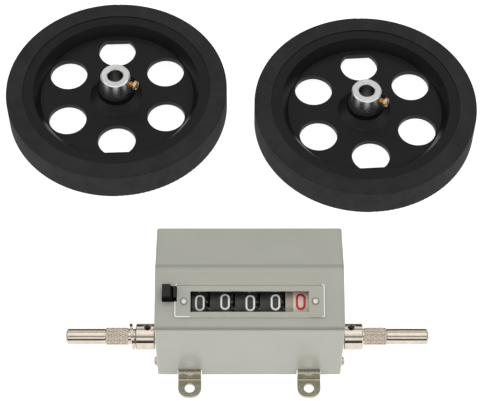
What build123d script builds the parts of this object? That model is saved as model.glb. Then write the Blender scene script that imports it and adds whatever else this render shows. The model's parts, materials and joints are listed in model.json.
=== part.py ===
import os
from math import atan2, cos, degrees, hypot, pi, radians, sin

from build123d import *

# A mechanical length counter with two metering wheels, laid out as a kit on a flat surface.
# Frame: +X along the spindle to the right, +Y to the back, +Z up, in millimetres.
# Origin: centre of the four mounting holes, on the surface that the feet stand on.

# ---------------------------------------------------------------- driving dimensions
# cover
COVER_WIDTH = 79.7
COVER_DEPTH = 48.8
COVER_BOTTOM = 2.5
COVER_SHEET = 1.2
FRONT_HEIGHT = 41.6
PANEL_TOP_BACK = 26.0
PANEL_TOP_HEIGHT = 49.9
BACK_HEIGHT = 44.5
COVER_BEND = 0.9
HALF_WIDTH = COVER_WIDTH / 2
WALL_INSIDE = HALF_WIDTH - COVER_SHEET
FRONT_Y = -COVER_DEPTH / 2
BACK_Y = COVER_DEPTH / 2

# window in the sloping panel: distances along the slope from the front crease
WINDOW_WIDTH = 49.6
WINDOW_HEIGHT = 8.9
WINDOW_UP = 11.9
BEZEL_WIDTH = 62.9
BEZEL_HEIGHT = 14.3
BEZEL_SHEET = 0.35
BEZEL_UP = 12.2
BEZEL_EDGE = 0.45
RIVET_X = 27.55
BEZEL_CORNER = 1.0
RIVET_RADIUS = 1.15
RIVET_SHANK_RADIUS = 0.8
RIVET_HEAD = 0.6
RIVET_TAIL = 0.4
RIVET_EDGE = 0.35
LENS_THICKNESS = 1.0
LENS_PAST_RIVET = 1.8
LENS_OVERLAP = 2.5

# feet
EAR_X = 25.9
EAR_OUT = 6.1
STRAP_WIDTH = 10.0
STRAP_THICKNESS = 1.4
EAR_HOLE_RADIUS = 2.2
EAR_TIP = 10.3
RISER_GAP = 0.4
EAR_ROUND = 4.2
STRAP_BEND = 0.6
NOTCH_GAP = 0.3

# base tray and chassis
TRAY_LOW = 3.7
TRAY_SHEET = 1.5
TRAY_TOP = TRAY_LOW + TRAY_SHEET
TAB_TOP = 12.0
TAB_WIDTH = 6.0
SIDE_SCREW_Z = 7.6
SIDE_SCREW_Y = 20.6
SIDE_SCREW_RADIUS = 1.3
SIDE_HEAD_RADIUS = 2.1
SIDE_HEAD = 1.6
CHASSIS_X = 31.3
CHASSIS_SHEET = 1.5
CHASSIS_HALF_DEPTH = 21.5
CHASSIS_FRONT_TOP = 30.0
CHASSIS_SHOULDER = (-15.0, 36.5)
CHASSIS_PEAK = (6.0, 38.0)
CHASSIS_BACK_TOP = 36.0
SCREW_GAP = 0.1
BUSH_FLANGE = 1.1
BUSH_FLANGE_OUT = 1.4
BUSH_PROUD = 0.5

# spindle line
SPINDLE_Y = FRONT_Y + 13.0
SPINDLE_Z = 13.0
SHAFT_RADIUS = 3.5
RUNNING_GAP = 0.04
BUSH_RADIUS = 4.6
COLLAR_RADIUS = 5.8
COLLAR_START = 40.9
COLLAR_END = 49.2
SPINDLE_END = 45.0
TIP_LEFT = 79.6
TIP_RIGHT = 77.8
KNURL_START_LEFT = 52.4
KNURL_START_RIGHT = 49.7
KNURL_LENGTH = 9.8
KNURL_RADIUS = 3.85
WASHER_RADIUS = 6.0
WASHER_HOLE = 4.1
WASHER_THICKNESS = 1.4
WASHER_TILT = 8.0
WASHER_X = 50.85

# gear teeth: half a tooth's width at the root, pitch circle and tip, as shares of the pitch
ROOT_SHARE = 0.32
PITCH_SHARE = 0.20
TIP_SHARE = 0.10
ROOT_DEPTH = 1.25

# gear train: spindle to last drum, 3 to 1
PINION_TEETH = 12
GEAR_TEETH = 36
GEAR_START = 24.9
GEAR_WIDTH = 2.6
PINION_START = GEAR_START + 0.3
DRUM_DEPTH_BELOW_PANEL = 16.75
DRUM_UP_PANEL = 12.3

# number drums
DRUM_X = (-20.9, -10.3, 0.3, 10.9, 21.5)
DRUM_RADIUS = 13.0
BAND_LEFT = 3.2
BAND_RIGHT = 3.4
RING_WIDTH = 3.2
RING_RADIUS = 12.2
AXLE_RADIUS = 2.0
AXLE_PROUD = 0.6
HUB_RADIUS = 4.5
CARRY_MODULE = 1.16
CARRY_TEETH = 20
CARRY_WIDTH = 1.3
CARRY_PINION_TEETH = 8
CARRY_PINION_ANGLE = -20.0
CARRY_SIDE_GAP = 0.2
CARRY_PINION_WIDTH = 1.6
CARRY_HUB_RADIUS = 2.6
CARRY_HUB_WIDTH = 5.4
CARRY_HUB_LEFT = 0.6
PINION_AXLE_RADIUS = 1.2
POCKET_RADIUS = 9.2
POCKET_DEPTH = 4.5

# reset key, sliding square to the panel; its rack turns the drum axle through a double gear
STEM_UP = 16.0
KEY_X = -34.25
KEY_UP = 15.1
KEY_WIDTH = 4.7
KEY_LENGTH = 6.1
KEY_STRAIGHT = 0.6
KEY_PROUD = 6.8
KEY_TOP_WIDTH = 3.2
KEY_TOP_LENGTH = 5.7
KEY_TOP_LEFT = 0.55
KEY_EDGE = 0.3
KEY_STEP = 1.2
KEY_STEP_PROUD = 2.2
KEY_STEP_SHORT = 1.2
KEY_SHOULDER = 2.4
KEY_GAP = 0.25
STEM_LEFT = -36.4
STEM_RIGHT = -34.6
STEM_FRONT = 1.5
STEM_END = 28.6
RESET_MODULE = 0.6
RACK_PINION_TEETH = 10
RESET_GEAR_TEETH = 34
AXLE_PINION_TEETH = 10
RACK_PITCH_LINE = 2.0
RESET_GEAR_LEFT = -34.4
RESET_GEAR_RIGHT = -33.2
RESET_STUD_RADIUS = 1.4
STUD_END_GAP = 0.2
STUD_HEAD = 0.7
STUD_HEAD_RADIUS = 2.4
RACK_TEETH = 5
SPRING_RADIUS = 1.0
SPRING_WIRE = 0.2
SPRING_TURNS = 8
SPRING_END_GAP = 0.1

# metering wheels, lying flat behind the counter
WHEEL_RADIUS = 1000.0 / 3 / (2 * pi)
WHEEL_WIDTH = 15.6
WHEEL_LEFT = (-63.4, 124.2)
WHEEL_RIGHT = (55.9, 115.2)
WHEEL_LEFT_TURN = 2.1
WHEEL_RIGHT_TURN = 3.6
TYRE_INSIDE = 45.0
TYRE_KEY = 1.2
RIM_TOP_INSIDE = 40.0
RIM_LOW_INSIDE = 36.8
RIM_INSET = 0.4
RIM_STEP = 0.9
RIM_STEP_UP = 2.2
TYRE_ROUND = 0.8
WEB_TOP = 9.65
WEB_THICKNESS = 2.8
HOLE_PITCH = 27.15
HOLE_RADIUS = 8.93
FLAT_OFF = 2.0
BOSS_RADIUS = 8.3
BOSS_FOOT_RADIUS = 13.0
BOSS_FOOT_EDGE = 1.2
BOSS_FOOT_UP = 1.0
BOSS_FLARE = 0.5
BOSS_FLARE_UP = 3.2
BACK_BOSS_WALL = 2.5
BACK_BOSS_DRAFT = 1.0
HOLE_COUNT = 6
HUB_EDGE = 0.45
CLAMP_GAP = 0.06
CLAMP_TIP_GAP = 0.2
RECESS_LENGTH = 3.2
RECESS_WIDTH = 0.7
RECESS_DEPTH = 1.0
HUB_SLEEVE_RADIUS = 7.0
HUB_TOP = 24.9
HUB_BORE = 3.53
CLAMP_Z = 20.6
CLAMP_RADIUS = 1.5
CLAMP_HEAD_RADIUS = 2.5
CLAMP_HEAD = 2.0
CLAMP_PROUD = 2.2
CLAMP_LEFT_ANGLE = -17.0
CLAMP_RIGHT_ANGLE = -25.0

# ---------------------------------------------------------------- worked-out places
PANEL_RISE = PANEL_TOP_HEIGHT - FRONT_HEIGHT
PANEL_ANGLE = degrees(atan2(PANEL_RISE, PANEL_TOP_BACK))
PANEL_COS = cos(radians(PANEL_ANGLE))
PANEL_SIN = sin(radians(PANEL_ANGLE))
# a plane on the sloping panel: local x along +X, local y up the slope, local z out of the panel
PANEL = Plane(
    origin=(0, FRONT_Y, FRONT_HEIGHT),
    x_dir=(1, 0, 0),
    z_dir=(0, -PANEL_SIN, PANEL_COS),
)


def on_panel(up, depth):
    """The (y, z) of a point a distance up the panel and a depth below it."""
    y = FRONT_Y + up * PANEL_COS + depth * PANEL_SIN
    z = FRONT_HEIGHT + up * PANEL_SIN - depth * PANEL_COS
    return y, z


DRUM_Y, DRUM_Z = on_panel(DRUM_UP_PANEL, DRUM_DEPTH_BELOW_PANEL)
GEAR_CENTRES = hypot(DRUM_Y - SPINDLE_Y, DRUM_Z - SPINDLE_Z)
# the gear pair is cut to the distance between the spindle and the drums
TRUE_MODULE = 2 * GEAR_CENTRES / (PINION_TEETH + GEAR_TEETH)
CARRY_CENTRES = CARRY_MODULE * (CARRY_TEETH + CARRY_PINION_TEETH) / 2
PINION_AXLE_Y = DRUM_Y + CARRY_CENTRES * cos(radians(CARRY_PINION_ANGLE))
PINION_AXLE_Z = DRUM_Z + CARRY_CENTRES * sin(radians(CARRY_PINION_ANGLE))

# the double gear of the reset stands behind the key's stem and below the drum axle
STEM_Y, STEM_Z = on_panel(STEM_UP, 0)
AXLE_ALONG = (DRUM_Y - STEM_Y) * PANEL_SIN - (DRUM_Z - STEM_Z) * PANEL_COS
AXLE_ASIDE = (DRUM_Y - STEM_Y) * PANEL_COS + (DRUM_Z - STEM_Z) * PANEL_SIN
RESET_ASIDE = RACK_PITCH_LINE + RESET_MODULE * RACK_PINION_TEETH / 2
RESET_CENTRES = RESET_MODULE * (RESET_GEAR_TEETH + AXLE_PINION_TEETH) / 2
RESET_ALONG = AXLE_ALONG + (RESET_CENTRES**2 - (RESET_ASIDE - AXLE_ASIDE) ** 2) ** 0.5
RESET_Y, RESET_Z = on_panel(STEM_UP + RESET_ASIDE, RESET_ALONG)

os.makedirs("parts", exist_ok=True)


def save(builder, name):
    builder.part.label = name
    export_step(builder.part, f"parts/{name}.step")


def side_plane(x):
    """A plane square to the spindle at x: local x is +Y, local y is +Z, extruding towards +X."""
    return Plane(origin=(x, 0, 0), x_dir=(0, 1, 0), z_dir=(1, 0, 0))


def gear_points(teeth, module, turn):
    """Corner points of a plain spur gear outline; `turn` is the direction of one tooth, in degrees."""
    pitch_radius = module * teeth / 2
    step = 360 / teeth
    corners = (
        (pitch_radius - ROOT_DEPTH * module, -ROOT_SHARE),
        (pitch_radius, -PITCH_SHARE),
        (pitch_radius + module, -TIP_SHARE),
        (pitch_radius + module, TIP_SHARE),
        (pitch_radius, PITCH_SHARE),
        (pitch_radius - ROOT_DEPTH * module, ROOT_SHARE),
    )
    points = []
    for tooth in range(teeth):
        for radius, share in corners:
            angle = radians(turn + (tooth + share) * step)
            points.append((radius * cos(angle), radius * sin(angle)))
    return points


def gear_outline(teeth, module, turn):
    """Adds a gear outline, centred on the sketch's origin, to the sketch in hand."""
    Polygon(*gear_points(teeth, module, turn), align=None)


COVER_OUTLINE = (
    (FRONT_Y, COVER_BOTTOM),
    (FRONT_Y, FRONT_HEIGHT),
    (FRONT_Y + PANEL_TOP_BACK, PANEL_TOP_HEIGHT),
    (BACK_Y, BACK_HEIGHT),
    (BACK_Y, COVER_BOTTOM),
)

# ---------------------------------------------------------------- cover and window
with BuildPart() as cover:
    with BuildSketch(side_plane(-HALF_WIDTH)):
        Polygon(*COVER_OUTLINE, align=None)
    extrude(amount=COVER_WIDTH)
    bends = cover.edges().filter_by(Axis.X).sort_by(Axis.Z)[2:]
    fillet(bends, COVER_BEND)
    ends = cover.faces().filter_by(Axis.X).edges()
    fillet(ends.filter_by(lambda edge: edge.center().Z > COVER_BOTTOM + 0.01), COVER_BEND)
    with BuildSketch(side_plane(-WALL_INSIDE)):
        Polygon(*COVER_OUTLINE, align=None)
        offset(amount=-COVER_SHEET, kind=Kind.INTERSECTION, mode=Mode.REPLACE)
    extrude(amount=2 * WALL_INSIDE, mode=Mode.SUBTRACT)
    with Locations((0, 0, COVER_BOTTOM)):
        Box(2 * WALL_INSIDE, COVER_DEPTH - 2 * COVER_SHEET, 4 * COVER_SHEET, mode=Mode.SUBTRACT)
    with BuildSketch(PANEL):
        with Locations((0, WINDOW_UP)):
            Rectangle(WINDOW_WIDTH, WINDOW_HEIGHT)
        with Locations((-RIVET_X, WINDOW_UP), (RIVET_X, WINDOW_UP)):
            Circle(RIVET_SHANK_RADIUS)
        with Locations((KEY_X + KEY_STEP / 2, KEY_UP)):
            Rectangle(KEY_WIDTH + KEY_STEP + 2 * KEY_GAP, KEY_LENGTH + 2 * KEY_GAP)
    extrude(amount=-3 * COVER_SHEET, mode=Mode.SUBTRACT)
    with BuildSketch(side_plane(-HALF_WIDTH)):
        with Locations((SPINDLE_Y, SPINDLE_Z)):
            Circle(BUSH_RADIUS + SCREW_GAP)
        with Locations((SPINDLE_Y, SPINDLE_Z / 2)):
            Rectangle(2 * (BUSH_RADIUS + SCREW_GAP), SPINDLE_Z)
        with Locations((-SIDE_SCREW_Y, SIDE_SCREW_Z), (SIDE_SCREW_Y, SIDE_SCREW_Z)):
            Circle(SIDE_SCREW_RADIUS + SCREW_GAP)
    extrude(amount=COVER_WIDTH, mode=Mode.SUBTRACT)
    with Locations((-EAR_X, 0, 0), (EAR_X, 0, 0)):
        notch_top = TRAY_TOP + STRAP_THICKNESS + NOTCH_GAP
        Box(
            STRAP_WIDTH + 2 * NOTCH_GAP,
            2 * COVER_DEPTH,
            notch_top,
            align=(Align.CENTER, Align.CENTER, Align.MIN),
            mode=Mode.SUBTRACT,
        )
save(cover, "cover")

with BuildPart() as bezel_plate:
    with BuildSketch(PANEL):
        with Locations((0, BEZEL_UP)):
            RectangleRounded(BEZEL_WIDTH, BEZEL_HEIGHT, BEZEL_CORNER)
    extrude(amount=BEZEL_SHEET)
    with BuildSketch(PANEL.offset(BEZEL_SHEET)):
        with Locations((0, BEZEL_UP)):
            RectangleRounded(BEZEL_WIDTH, BEZEL_HEIGHT, BEZEL_CORNER)
            RectangleRounded(
                BEZEL_WIDTH - 2 * BEZEL_EDGE,
                BEZEL_HEIGHT - 2 * BEZEL_EDGE,
                BEZEL_CORNER - BEZEL_EDGE,
                mode=Mode.SUBTRACT,
            )
    extrude(amount=BEZEL_SHEET)
    with BuildSketch(PANEL):
        with Locations((0, WINDOW_UP)):
            Rectangle(WINDOW_WIDTH, WINDOW_HEIGHT)
        with Locations((-RIVET_X, WINDOW_UP), (RIVET_X, WINDOW_UP)):
            Circle(RIVET_SHANK_RADIUS)
        with Locations((KEY_X + KEY_STEP / 2, KEY_UP)):
            Rectangle(KEY_WIDTH + KEY_STEP + 2 * KEY_GAP, KEY_LENGTH + 2 * KEY_GAP)
    extrude(amount=3 * BEZEL_SHEET, mode=Mode.SUBTRACT)
save(bezel_plate, "bezel_plate")

with BuildPart() as window_lens:
    with BuildSketch(PANEL.offset(-COVER_SHEET)):
        with Locations((0, WINDOW_UP)):
            RectangleRounded(
                2 * (RIVET_X + LENS_PAST_RIVET),
                WINDOW_HEIGHT + 2 * LENS_OVERLAP,
                BEZEL_CORNER,
            )
        with Locations((-RIVET_X, WINDOW_UP), (RIVET_X, WINDOW_UP)):
            Circle(RIVET_SHANK_RADIUS, mode=Mode.SUBTRACT)
    extrude(amount=-LENS_THICKNESS)
save(window_lens, "window_lens")

with BuildPart() as bezel_rivets:
    rivet_depth = COVER_SHEET + LENS_THICKNESS
    for x in (-RIVET_X, RIVET_X):
        with BuildSketch(PANEL.offset(BEZEL_SHEET)):
            with Locations((x, WINDOW_UP)):
                Circle(RIVET_RADIUS)
        extrude(amount=RIVET_HEAD)
        with BuildSketch(PANEL.offset(BEZEL_SHEET)):
            with Locations((x, WINDOW_UP)):
                Circle(RIVET_SHANK_RADIUS)
        extrude(amount=-BEZEL_SHEET - rivet_depth)
        with BuildSketch(PANEL.offset(-rivet_depth)):
            with Locations((x, WINDOW_UP)):
                Circle(RIVET_RADIUS)
        extrude(amount=-RIVET_TAIL)
    rims = bezel_rivets.edges().filter_by(GeomType.CIRCLE)
    fillet(rims.group_by(Axis.Z)[-1], RIVET_EDGE)
save(bezel_rivets, "bezel_rivets")


# ---------------------------------------------------------------- feet, tray and chassis
def make_strap(name, x):
    inside = COVER_DEPTH / 2 + RISER_GAP
    outside = inside + STRAP_THICKNESS
    tip = COVER_DEPTH / 2 + EAR_TIP
    top = TRAY_TOP + STRAP_THICKNESS
    with BuildPart() as strap:
        with BuildSketch(side_plane(x - STRAP_WIDTH / 2)):
            Polygon(
                (-tip, 0),
                (-inside, 0),
                (-inside, TRAY_TOP),
                (inside, TRAY_TOP),
                (inside, 0),
                (tip, 0),
                (tip, STRAP_THICKNESS),
                (outside, STRAP_THICKNESS),
                (outside, top),
                (-outside, top),
                (-outside, STRAP_THICKNESS),
                (-tip, STRAP_THICKNESS),
                align=None,
            )
        extrude(amount=STRAP_WIDTH)
        upright = strap.edges().filter_by(Axis.Z)
        corners = upright.group_by(lambda edge: round(abs(edge.center().Y), 3))[-1]
        fillet(corners, EAR_ROUND)
        across = strap.edges().filter_by(Axis.X)
        bends = across.filter_by(lambda edge: abs(edge.center().Y) < outside + 0.1)
        fillet(bends, STRAP_BEND)
        with BuildSketch(Plane.XY):
            with Locations((x, -COVER_DEPTH / 2 - EAR_OUT), (x, COVER_DEPTH / 2 + EAR_OUT)):
                Circle(EAR_HOLE_RADIUS)
        extrude(amount=STRAP_THICKNESS, mode=Mode.SUBTRACT)
    save(strap, name)


make_strap("mounting_strap_left", -EAR_X)
make_strap("mounting_strap_right", EAR_X)

TRAY_SIDE_GAP = 0.05
TRAY_END_GAP = 0.4
TRAY_HALF = WALL_INSIDE - TRAY_SIDE_GAP
TRAY_DEPTH = COVER_DEPTH - 2 * (COVER_SHEET + TRAY_END_GAP)
FOOT_RIGHT = TRAY_HALF - TRAY_SHEET - TRAY_END_GAP
BASE_SCREW_X = (CHASSIS_X + CHASSIS_SHEET + FOOT_RIGHT) / 2
BASE_SCREW_Y = 15.0
BASE_SCREW_RADIUS = 1.2
BASE_HEAD_RADIUS = 1.7
BASE_HEAD = 1.3
SIDE_SCREW_PAST = 0.4
SIDE_HEAD_EDGE = 0.9

with BuildPart() as base_plate:
    with Locations((0, 0, TRAY_LOW)):
        Box(
            2 * TRAY_HALF,
            TRAY_DEPTH,
            TRAY_SHEET,
            align=(Align.CENTER, Align.CENTER, Align.MIN),
        )
    for side in (-1, 1):
        for end in (-1, 1):
            with Locations(
                (
                    side * (TRAY_HALF - TRAY_SHEET / 2),
                    end * (TRAY_DEPTH - TAB_WIDTH) / 2,
                    TRAY_LOW,
                )
            ):
                Box(
                    TRAY_SHEET,
                    TAB_WIDTH,
                    TAB_TOP - TRAY_LOW,
                    align=(Align.CENTER, Align.CENTER, Align.MIN),
                )
    with BuildSketch(side_plane(-HALF_WIDTH)):
        with Locations((-SIDE_SCREW_Y, SIDE_SCREW_Z), (SIDE_SCREW_Y, SIDE_SCREW_Z)):
            Circle(SIDE_SCREW_RADIUS)
    extrude(amount=COVER_WIDTH, mode=Mode.SUBTRACT)
    with BuildSketch(Plane.XY.offset(TRAY_LOW)):
        with GridLocations(2 * BASE_SCREW_X, 2 * BASE_SCREW_Y, 2, 2):
            Circle(BASE_SCREW_RADIUS)
    extrude(amount=TRAY_SHEET, mode=Mode.SUBTRACT)
save(base_plate, "base_plate")


def make_chassis_plate(name, side):
    inner = CHASSIS_X if side > 0 else -CHASSIS_X - CHASSIS_SHEET
    with BuildPart() as plate:
        with BuildSketch(side_plane(inner)):
            Polygon(
                (-CHASSIS_HALF_DEPTH, TRAY_TOP),
                (-CHASSIS_HALF_DEPTH, CHASSIS_FRONT_TOP),
                CHASSIS_SHOULDER,
                CHASSIS_PEAK,
                (CHASSIS_HALF_DEPTH, CHASSIS_BACK_TOP),
                (CHASSIS_HALF_DEPTH, TRAY_TOP),
                align=None,
            )
            with Locations((SPINDLE_Y, SPINDLE_Z)):
                Circle(BUSH_RADIUS, mode=Mode.SUBTRACT)
            with Locations((DRUM_Y, DRUM_Z)):
                Circle(AXLE_RADIUS + RUNNING_GAP, mode=Mode.SUBTRACT)
            with Locations((PINION_AXLE_Y, PINION_AXLE_Z)):
                Circle(PINION_AXLE_RADIUS, mode=Mode.SUBTRACT)
            if side < 0:
                with Locations((RESET_Y, RESET_Z)):
                    Circle(RESET_STUD_RADIUS, mode=Mode.SUBTRACT)
        extrude(amount=CHASSIS_SHEET)
        foot_start = CHASSIS_X + CHASSIS_SHEET
        with Locations((side * (foot_start + FOOT_RIGHT) / 2, 0, TRAY_TOP)):
            Box(
                FOOT_RIGHT - foot_start,
                2 * CHASSIS_HALF_DEPTH,
                CHASSIS_SHEET,
                align=(Align.CENTER, Align.CENTER, Align.MIN),
            )
        with BuildSketch(Plane.XY.offset(TRAY_TOP)):
            with Locations(
                (side * BASE_SCREW_X, -BASE_SCREW_Y), (side * BASE_SCREW_X, BASE_SCREW_Y)
            ):
                Circle(BASE_SCREW_RADIUS)
        extrude(amount=CHASSIS_SHEET, mode=Mode.SUBTRACT)
    save(plate, name)


make_chassis_plate("chassis_plate_left", -1)
make_chassis_plate("chassis_plate_right", 1)

with BuildPart() as base_screws:
    with BuildSketch(Plane.XY.offset(TRAY_LOW)):
        with GridLocations(2 * BASE_SCREW_X, 2 * BASE_SCREW_Y, 2, 2):
            Circle(BASE_SCREW_RADIUS)
    extrude(amount=TRAY_SHEET + CHASSIS_SHEET)
    with BuildSketch(Plane.XY.offset(TRAY_TOP + CHASSIS_SHEET)):
        with GridLocations(2 * BASE_SCREW_X, 2 * BASE_SCREW_Y, 2, 2):
            Circle(BASE_HEAD_RADIUS)
    extrude(amount=BASE_HEAD)
save(base_screws, "base_screws")

with BuildPart() as side_screws:
    for side in (-1, 1):
        start = side_plane(side * HALF_WIDTH)
        with BuildSketch(start):
            with Locations((-SIDE_SCREW_Y, SIDE_SCREW_Z), (SIDE_SCREW_Y, SIDE_SCREW_Z)):
                Circle(SIDE_SCREW_RADIUS)
        extrude(amount=-side * (COVER_SHEET + TRAY_SHEET + SIDE_SCREW_PAST))
        with BuildSketch(start):
            with Locations((-SIDE_SCREW_Y, SIDE_SCREW_Z), (SIDE_SCREW_Y, SIDE_SCREW_Z)):
                Circle(SIDE_HEAD_RADIUS)
        extrude(amount=side * SIDE_HEAD)
    outer = side_screws.edges().filter_by(GeomType.CIRCLE).group_by(Axis.X)
    fillet(outer[0] + outer[-1], SIDE_HEAD_EDGE)
save(side_screws, "side_screws")


def make_bush(name, side):
    with BuildPart() as bush:
        with BuildSketch(side_plane(side * (CHASSIS_X - BUSH_FLANGE))):
            with Locations((SPINDLE_Y, SPINDLE_Z)):
                Circle(BUSH_RADIUS + BUSH_FLANGE_OUT)
                Circle(SHAFT_RADIUS + RUNNING_GAP, mode=Mode.SUBTRACT)
        extrude(amount=side * BUSH_FLANGE)
        with BuildSketch(side_plane(side * CHASSIS_X)):
            with Locations((SPINDLE_Y, SPINDLE_Z)):
                Circle(BUSH_RADIUS)
                Circle(SHAFT_RADIUS + RUNNING_GAP, mode=Mode.SUBTRACT)
        extrude(amount=side * (HALF_WIDTH + BUSH_PROUD - CHASSIS_X))
    save(bush, name)


make_bush("spindle_bush_left", -1)
make_bush("spindle_bush_right", 1)

# ---------------------------------------------------------------- spindle line
DRIVE_ANGLE = degrees(atan2(DRUM_Z - SPINDLE_Z, DRUM_Y - SPINDLE_Y))
SET_SCREW_X = 44.0
SET_SCREW_RADIUS = 1.5
SET_SCREW_LEAN = 79.0
SET_SCREW_LENGTH = 1.7
HEX_SOCKET_RADIUS = 0.7
HEX_SOCKET_DEPTH = 1.2
COLLAR_EDGE = 0.4
TIP_CHAMFER = 0.8


def spindle_plane(x):
    """A plane square to the spindle, with its origin on the spindle's axis."""
    return Plane(origin=(x, SPINDLE_Y, SPINDLE_Z), x_dir=(0, 1, 0), z_dir=(1, 0, 0))


def set_screw_plane(x, height):
    """A plane across the set screw at x, `height` from the spindle's axis."""
    lean = radians(SET_SCREW_LEAN)
    direction = (0, cos(lean), sin(lean))
    origin = (x, SPINDLE_Y + height * cos(lean), SPINDLE_Z + height * sin(lean))
    return Plane(origin=origin, x_dir=(1, 0, 0), z_dir=direction)


with BuildPart() as spindle:
    with BuildSketch(spindle_plane(-SPINDLE_END)):
        Circle(SHAFT_RADIUS)
    extrude(amount=PINION_START + SPINDLE_END)
    with BuildSketch(spindle_plane(PINION_START)):
        gear_outline(PINION_TEETH, TRUE_MODULE, DRIVE_ANGLE)
    extrude(amount=GEAR_WIDTH)
    with BuildSketch(spindle_plane(PINION_START + GEAR_WIDTH)):
        Circle(SHAFT_RADIUS)
    extrude(amount=SPINDLE_END - PINION_START - GEAR_WIDTH)
save(spindle, "spindle")


def make_collar(name, side):
    with BuildPart() as collar:
        with BuildSketch(spindle_plane(side * COLLAR_START)):
            Circle(COLLAR_RADIUS)
            Circle(SHAFT_RADIUS, mode=Mode.SUBTRACT)
        extrude(amount=side * (COLLAR_END - COLLAR_START))
        rims = collar.edges().filter_by(GeomType.CIRCLE)
        chamfer(rims.filter_by(lambda edge: edge.radius > COLLAR_RADIUS - 0.01), COLLAR_EDGE)
        with BuildSketch(set_screw_plane(side * SET_SCREW_X, 0)):
            Circle(SET_SCREW_RADIUS)
        extrude(amount=COLLAR_RADIUS + 1, mode=Mode.SUBTRACT)
    save(collar, name)


make_collar("collar_left", -1)
make_collar("collar_right", 1)

with BuildPart() as set_screws:
    for x in (-SET_SCREW_X, SET_SCREW_X):
        with BuildSketch(set_screw_plane(x, SHAFT_RADIUS)):
            Circle(SET_SCREW_RADIUS)
        extrude(amount=SET_SCREW_LENGTH)
        with BuildSketch(set_screw_plane(x, SHAFT_RADIUS + SET_SCREW_LENGTH)):
            RegularPolygon(HEX_SOCKET_RADIUS, 6)
        extrude(amount=-HEX_SOCKET_DEPTH, mode=Mode.SUBTRACT)
    with BuildSketch(spindle_plane(-SPINDLE_END)):
        Circle(SHAFT_RADIUS)
    extrude(amount=2 * SPINDLE_END, mode=Mode.SUBTRACT)
save(set_screws, "set_screws")


def make_shaft_end(name, side, tip, knurl_start):
    with BuildPart() as shaft_end:
        with BuildSketch(spindle_plane(side * SPINDLE_END)):
            Circle(SHAFT_RADIUS)
        extrude(amount=side * (tip - SPINDLE_END))
        outer_rim = shaft_end.edges().filter_by(GeomType.CIRCLE).sort_by(Axis.X)
        chamfer(outer_rim[-1] if side > 0 else outer_rim[0], TIP_CHAMFER)
        with BuildSketch(spindle_plane(side * knurl_start)):
            Circle(KNURL_RADIUS)
        extrude(amount=side * KNURL_LENGTH)
    save(shaft_end, name)


make_shaft_end("shaft_end_left", -1, TIP_LEFT, KNURL_START_LEFT)
make_shaft_end("shaft_end_right", 1, TIP_RIGHT, KNURL_START_RIGHT)

with BuildPart() as shaft_washer:
    tilt = radians(WASHER_TILT)
    washer_plane = Plane(
        origin=(-WASHER_X, SPINDLE_Y, SPINDLE_Z),
        x_dir=(-sin(tilt), cos(tilt), 0),
        z_dir=(cos(tilt), sin(tilt), 0),
    )
    with BuildSketch(washer_plane):
        Circle(WASHER_RADIUS)
        Circle(WASHER_HOLE, mode=Mode.SUBTRACT)
    extrude(amount=WASHER_THICKNESS / 2, both=True)
save(shaft_washer, "shaft_washer")


# ---------------------------------------------------------------- number drums
def drum_plane(x):
    """A plane square to the drum axle at x, with its origin on the axle's axis."""
    return Plane(origin=(x, DRUM_Y, DRUM_Z), x_dir=(0, 1, 0), z_dir=(1, 0, 0))


def make_drum(name, x, driven):
    """A number wheel: figure band, carry ring on its left, carry gear cut in its right edge."""
    band_end = x + BAND_RIGHT - (CARRY_WIDTH if driven else 0)
    with BuildPart() as drum:
        with BuildSketch(drum_plane(x - BAND_LEFT - RING_WIDTH)):
            Circle(RING_RADIUS)
        extrude(amount=RING_WIDTH)
        with BuildSketch(drum_plane(x - BAND_LEFT)):
            Circle(DRUM_RADIUS)
        extrude(amount=band_end - x + BAND_LEFT)
        if driven:
            with BuildSketch(drum_plane(band_end)):
                gear_outline(CARRY_TEETH, CARRY_MODULE, CARRY_PINION_ANGLE)
            extrude(amount=CARRY_WIDTH)
        with BuildSketch(drum_plane(x + BAND_RIGHT)):
            Circle(POCKET_RADIUS)
            Circle(HUB_RADIUS, mode=Mode.SUBTRACT)
        extrude(amount=-POCKET_DEPTH, mode=Mode.SUBTRACT)
        with BuildSketch(drum_plane(x - BAND_LEFT - RING_WIDTH)):
            Circle(AXLE_RADIUS + RUNNING_GAP)
        extrude(amount=RING_WIDTH + BAND_LEFT + BAND_RIGHT, mode=Mode.SUBTRACT)
    save(drum, name)


for place, x in enumerate(DRUM_X):
    make_drum(f"number_drum_{place + 1}", x, place < len(DRUM_X) - 1)

with BuildPart() as drive_gear:
    with BuildSketch(drum_plane(GEAR_START)):
        half_step = 180 / GEAR_TEETH
        gear_outline(GEAR_TEETH, TRUE_MODULE, DRIVE_ANGLE + 180 + half_step)
        Circle(AXLE_RADIUS + RUNNING_GAP, mode=Mode.SUBTRACT)
    extrude(amount=GEAR_WIDTH)
save(drive_gear, "drive_gear")

for place, x in enumerate(DRUM_X[:-1]):
    with BuildPart() as transfer_pinion:
        pinion_base = Plane(
            origin=(x + BAND_RIGHT - CARRY_WIDTH + CARRY_SIDE_GAP, PINION_AXLE_Y, PINION_AXLE_Z),
            x_dir=(0, 1, 0),
            z_dir=(1, 0, 0),
        )
        with BuildSketch(pinion_base):
            turn = CARRY_PINION_ANGLE + 180 + 180 / CARRY_PINION_TEETH
            gear_outline(CARRY_PINION_TEETH, CARRY_MODULE, turn)
        extrude(amount=CARRY_PINION_WIDTH)
        with BuildSketch(pinion_base.offset(-CARRY_HUB_LEFT)):
            Circle(CARRY_HUB_RADIUS)
        extrude(amount=CARRY_HUB_WIDTH)
        with BuildSketch(pinion_base.offset(-CARRY_HUB_LEFT)):
            Circle(PINION_AXLE_RADIUS + RUNNING_GAP)
        extrude(amount=CARRY_HUB_WIDTH, mode=Mode.SUBTRACT)
    save(transfer_pinion, f"transfer_pinion_{place + 1}")

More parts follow.
